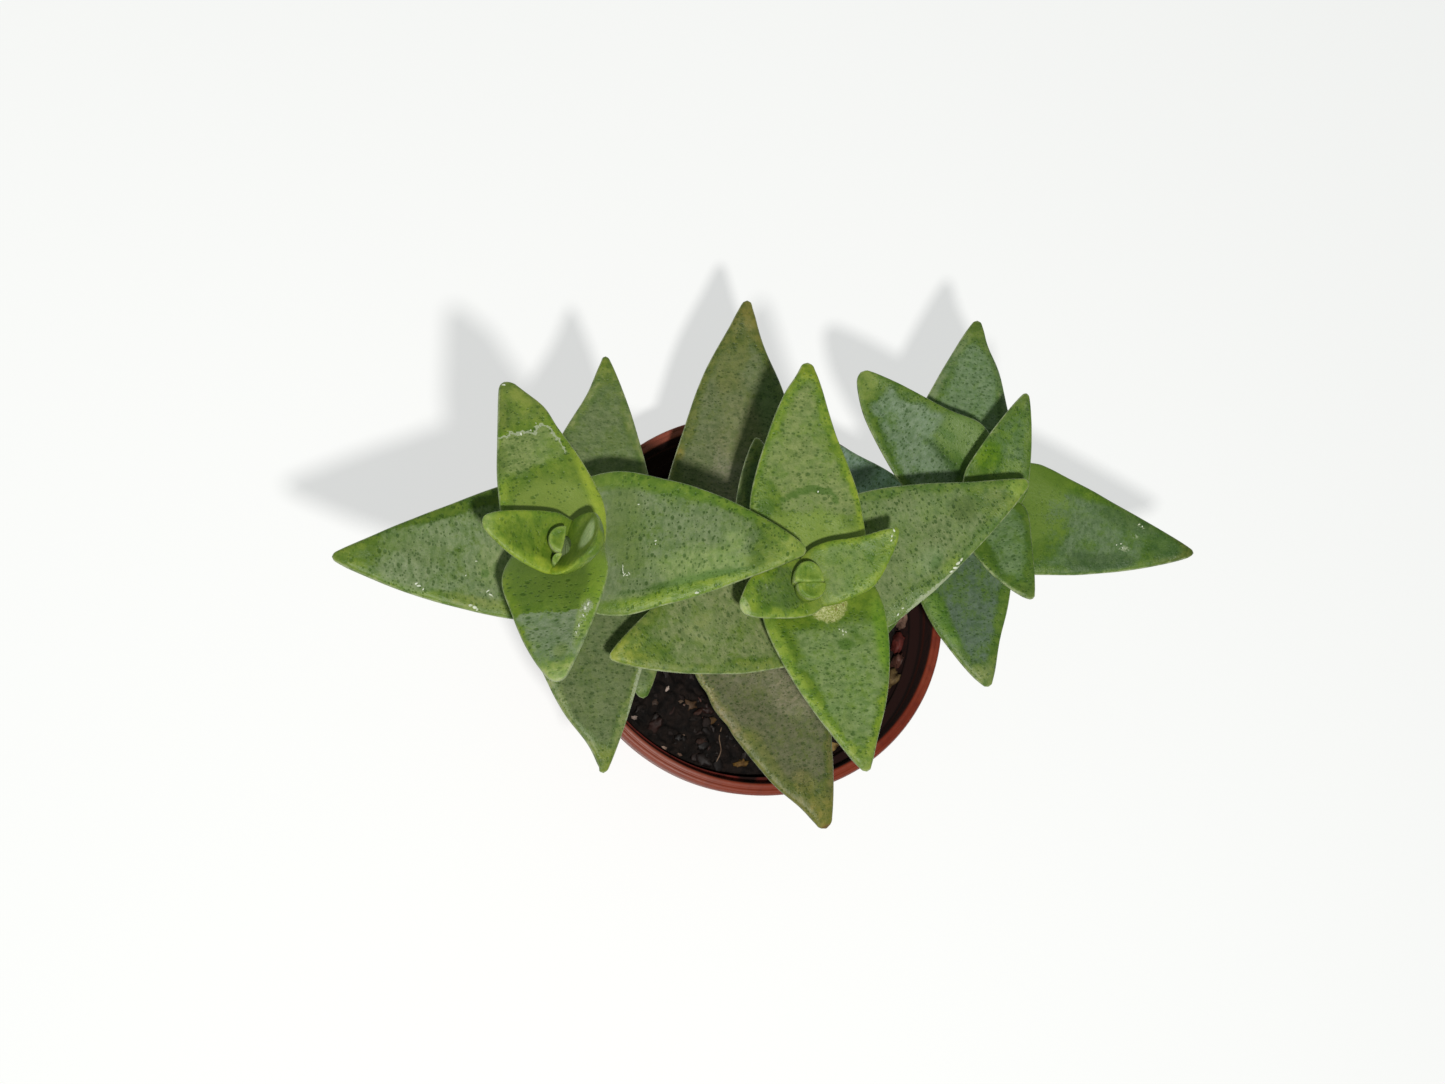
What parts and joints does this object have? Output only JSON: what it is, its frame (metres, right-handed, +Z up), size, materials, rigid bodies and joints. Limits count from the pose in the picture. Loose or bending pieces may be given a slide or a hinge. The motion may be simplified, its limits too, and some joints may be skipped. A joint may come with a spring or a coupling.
{
  "type": "string of buttons succulent in a nursery pot",
  "caption": "Small potted succulent: stems threaded through opposite pairs of fleshy pointed leaves, in potting mix in a round tapered plastic pot with a lipped rim.",
  "frame": {"origin": "centre of the flat underside of the pot", "axes": "+Z up; +X towards the lower right-hand stem, so the tallest stem leans to -X"},
  "size_m": [0.1014, 0.0682, 0.1093],
  "materials": {
    "pot_plastic": "brick red thin plastic, slightly shiny lip",
    "potting_mix": "dark crumbly peat with bark chips, white grains and small pebbles",
    "leaf_green": "grey-green fleshy leaf with dark dots and yellow-green margins",
    "leaf_blue_green": "blue-green fleshy leaf with waxy bloom"
  },
  "bodies": {
    "root": {"pot": "pot_plastic", "soil": "potting_mix", "leafy_stem_left": "leaf_green", "leafy_stem_centre": "leaf_green", "leafy_stem_right": "leaf_blue_green"}
  },
  "joints": []
}
